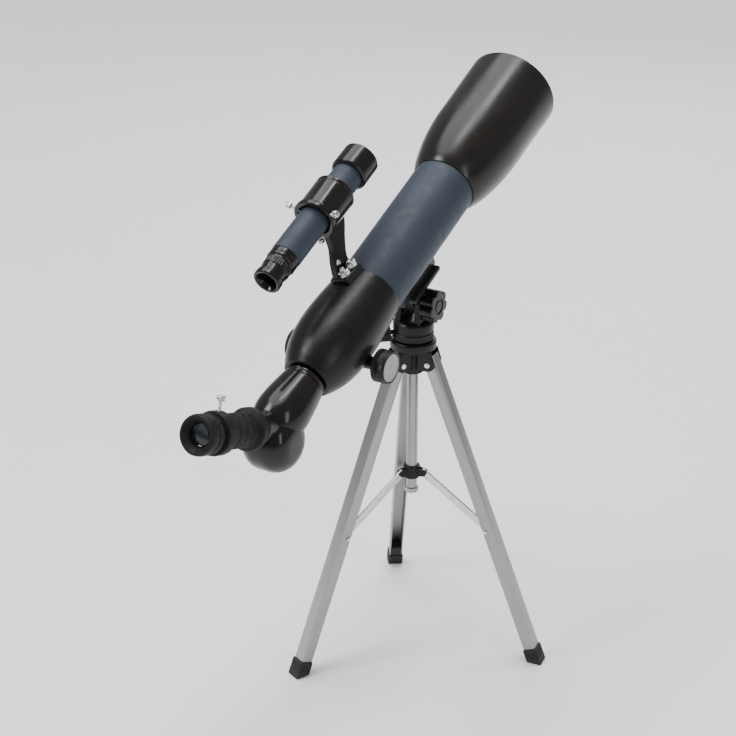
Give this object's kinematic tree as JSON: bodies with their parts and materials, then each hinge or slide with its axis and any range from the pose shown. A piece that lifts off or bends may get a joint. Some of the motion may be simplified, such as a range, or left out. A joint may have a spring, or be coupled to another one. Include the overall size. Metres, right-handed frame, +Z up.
{
  "type": "tabletop telescope",
  "caption": "Small refracting telescope with flared dew shield, angled eyepiece and finder, on a pan and tilt head over a folding table tripod.",
  "frame": {"origin": "middle of the plan box at the level of the feet, on the table top", "axes": "+Z up; +Y the way the objective points; +X the right-hand side seen from the eyepiece"},
  "size_m": [0.2188, 0.5106, 0.518],
  "materials": {
    "blue_paint": "satin",
    "gloss_black": "gloss",
    "satin_black": "satin",
    "dull_black": "matte",
    "grey_disc": "satin",
    "leg_aluminium": "brushed",
    "bright_metal": "polished",
    "optical_glass": "polished",
    "foot_rubber": "matte"
  },
  "bodies": {
    "tripod": {"crown": "satin_black", "centre_post": "leg_aluminium", "hinge_pin_1": "bright_metal", "hinge_pin_2": "bright_metal", "hinge_pin_3": "bright_metal"},
    "spreader": {"spreader_hub": "satin_black"},
    "pan_head": {"pan_base": "satin_black", "tilt_bolt": "bright_metal"},
    "pan_knob": {"pan_knob": "dull_black"},
    "tilt_knob": {"tilt_knob": "satin_black"},
    "telescope": {"main_tube": "blue_paint", "dew_shield": "gloss_black", "objective_cell": "dull_black", "objective_lens": "optical_glass", "lens_retaining_ring": "dull_black", "tube_baffle": "dull_black", "rear_cell": "satin_black", "mount_shoe": "satin_black", "tilt_platform": "satin_black", "finder_bracket": "satin_black", "finder_tube": "blue_paint", "finder_hood": "gloss_black", "finder_objective": "optical_glass"},
    "mount_screw": {"mount_screw": "bright_metal"},
    "finder_eyepiece": {"finder_eyepiece": "dull_black", "finder_eye_lens": "optical_glass"},
    "focus_knobs": {"focus_pinion": "bright_metal", "focus_knob_left": "satin_black", "focus_knob_right": "satin_black", "knob_disc_left": "grey_disc", "knob_disc_right": "grey_disc"},
    "drawtube": {"drawtube": "gloss_black"},
    "diagonal": {"diagonal_housing": "gloss_black", "diagonal_prism": "optical_glass", "eyepiece_holder": "dull_black"},
    "eyepiece": {"eyepiece_barrel": "bright_metal", "eyepiece_body": "dull_black", "eye_lens": "optical_glass", "field_lens": "optical_glass"},
    "eyepiece_thumbscrew": {"eyepiece_thumbscrew": "bright_metal"},
    "leg_1": {"leg_1": "leg_aluminium", "foot_1": "foot_rubber", "brace_pin_1": "bright_metal"},
    "brace_1": {"brace_1": "bright_metal"},
    "finder_screw_1": {"finder_screw_1": "bright_metal"},
    "leg_2": {"leg_2": "leg_aluminium", "foot_2": "foot_rubber", "brace_pin_2": "bright_metal"},
    "brace_2": {"brace_2": "bright_metal"},
    "finder_screw_2": {"finder_screw_2": "bright_metal"},
    "leg_3": {"leg_3": "leg_aluminium", "foot_3": "foot_rubber", "brace_pin_3": "bright_metal"},
    "brace_3": {"brace_3": "bright_metal"},
    "finder_screw_3": {"finder_screw_3": "bright_metal"},
    "bracket_nut_1": {"bracket_nut_1": "bright_metal"},
    "bracket_nut_2": {"bracket_nut_2": "bright_metal"}
  },
  "joints": [
    {"name": "pan", "type": "hinge", "parent": "tripod", "child": "pan_head", "pos_m": [-0.0235, 0.0628, 0.33407], "axis": [0, 0, 1], "continuous": true},
    {"name": "tilt", "type": "hinge", "parent": "pan_head", "child": "telescope", "pos_m": [-0.0235, 0.0628, 0.33407], "axis": [1, 0, 0], "range_deg": [-34, 40]},
    {"name": "tilt_knob_turn", "type": "hinge", "parent": "pan_head", "child": "tilt_knob", "pos_m": [-0.0235, 0.0628, 0.33407], "axis": [1, 0, 0], "range_deg": [-180, 180]},
    {"name": "pan_knob_turn", "type": "hinge", "parent": "pan_head", "child": "pan_knob", "pos_m": [-0.0235, 0.0628, 0.30657], "axis": [-0.7431, -0.6691, 0], "range_deg": [-180, 180]},
    {"name": "mount_screw_turn", "type": "hinge", "parent": "telescope", "child": "mount_screw", "pos_m": [-0.0235, 0.08016, 0.3418], "axis": [0, -0.4067, 0.9135], "range_deg": [-180, 180]},
    {"name": "focus_slide", "type": "slide", "parent": "telescope", "child": "drawtube", "axis": [0, -0.9135, -0.4067], "range_m": [0, 0.03]},
    {"name": "focus_turn", "type": "hinge", "parent": "telescope", "child": "focus_knobs", "pos_m": [-0.0235, -0.05437, 0.32679], "axis": [1, 0, 0], "range_deg": [0, 478.46]},
    {"name": "diagonal_turn", "type": "hinge", "parent": "drawtube", "child": "diagonal", "pos_m": [-0.0235, -0.15426, 0.3053], "axis": [0, -0.9135, -0.4067], "range_deg": [-180, 180]},
    {"name": "eyepiece_slide", "type": "slide", "parent": "diagonal", "child": "eyepiece", "axis": [0, -0.9455, 0.3256], "range_m": [0, 0.03]},
    {"name": "eyepiece_screw_turn", "type": "hinge", "parent": "diagonal", "child": "eyepiece_thumbscrew", "pos_m": [-0.0235, -0.22707, 0.33037], "axis": [0, 0.3256, 0.9455], "range_deg": [-180, 180]},
    {"name": "finder_focus", "type": "slide", "parent": "telescope", "child": "finder_eyepiece", "axis": [0, -0.9135, -0.4067], "range_m": [0, 0.005]},
    {"name": "finder_screw_1_turn", "type": "hinge", "parent": "telescope", "child": "finder_screw_1", "pos_m": [-0.04946, -0.05128, 0.4386], "axis": [-0.9272, -0.1524, 0.3422], "range_deg": [-180, 180]},
    {"name": "finder_screw_2_turn", "type": "hinge", "parent": "telescope", "child": "finder_screw_2", "pos_m": [-0.04946, -0.05128, 0.4386], "axis": [0.9205, -0.1589, 0.357], "range_deg": [-180, 180]},
    {"name": "finder_screw_3_turn", "type": "hinge", "parent": "telescope", "child": "finder_screw_3", "pos_m": [-0.04946, -0.05128, 0.4386], "axis": [-0.0349, 0.4065, -0.913], "range_deg": [-180, 180]},
    {"name": "bracket_nut_1_turn", "type": "hinge", "parent": "telescope", "child": "bracket_nut_1", "pos_m": [-0.01551, -0.02066, 0.36762], "axis": [-0.309, -0.3868, 0.8688], "range_deg": [-180, 180]},
    {"name": "bracket_nut_2_turn", "type": "hinge", "parent": "telescope", "child": "bracket_nut_2", "pos_m": [-0.01551, -0.03053, 0.36323], "axis": [-0.309, -0.3868, 0.8688], "range_deg": [-180, 180]},
    {"name": "leg_fold_1", "type": "hinge", "parent": "tripod", "child": "leg_1", "pos_m": [-0.00663, 0.06487, 0.28007], "axis": [-0.1219, 0.9925, 0], "range_deg": [0, 18]},
    {"name": "leg_fold_2", "type": "hinge", "parent": "tripod", "child": "leg_2", "pos_m": [-0.03373, 0.07638, 0.28007], "axis": [-0.7986, -0.6018, 0], "range_deg": [0, 18]},
    {"name": "leg_fold_3", "type": "hinge", "parent": "tripod", "child": "leg_3", "pos_m": [-0.03014, 0.04715, 0.28007], "axis": [0.9205, -0.3907, 0], "range_deg": [0, 18]},
    {"name": "spreader_slide", "type": "slide", "parent": "tripod", "child": "spreader", "axis": [0, 0, 1], "range_m": [0, 0.02202]},
    {"name": "brace_fold_1", "type": "hinge", "parent": "spreader", "child": "brace_1", "pos_m": [-0.01189, 0.06423, 0.16953], "axis": [-0.1219, 0.9925, 0], "range_deg": [0, 46.26]},
    {"name": "brace_fold_2", "type": "hinge", "parent": "spreader", "child": "brace_2", "pos_m": [-0.03054, 0.07214, 0.16953], "axis": [-0.7986, -0.6018, 0], "range_deg": [0, 46.26]},
    {"name": "brace_fold_3", "type": "hinge", "parent": "spreader", "child": "brace_3", "pos_m": [-0.02807, 0.05203, 0.16953], "axis": [0.9205, -0.3907, 0], "range_deg": [0, 46.26]}
  ],
  "couplings": [
    {"joint": "focus_turn", "follows": "focus_slide", "rad_per_m": 277.78},
    {"joint": "leg_fold_2", "follows": "leg_fold_1", "ratio": 1},
    {"joint": "leg_fold_3", "follows": "leg_fold_1", "ratio": 1},
    {"joint": "spreader_slide", "follows": "leg_fold_1", "m_per_rad": 0.068508},
    {"joint": "brace_fold_1", "follows": "leg_fold_1", "ratio": 2.5422},
    {"joint": "brace_fold_2", "follows": "leg_fold_1", "ratio": 2.5422},
    {"joint": "brace_fold_3", "follows": "leg_fold_1", "ratio": 2.5422}
  ]
}
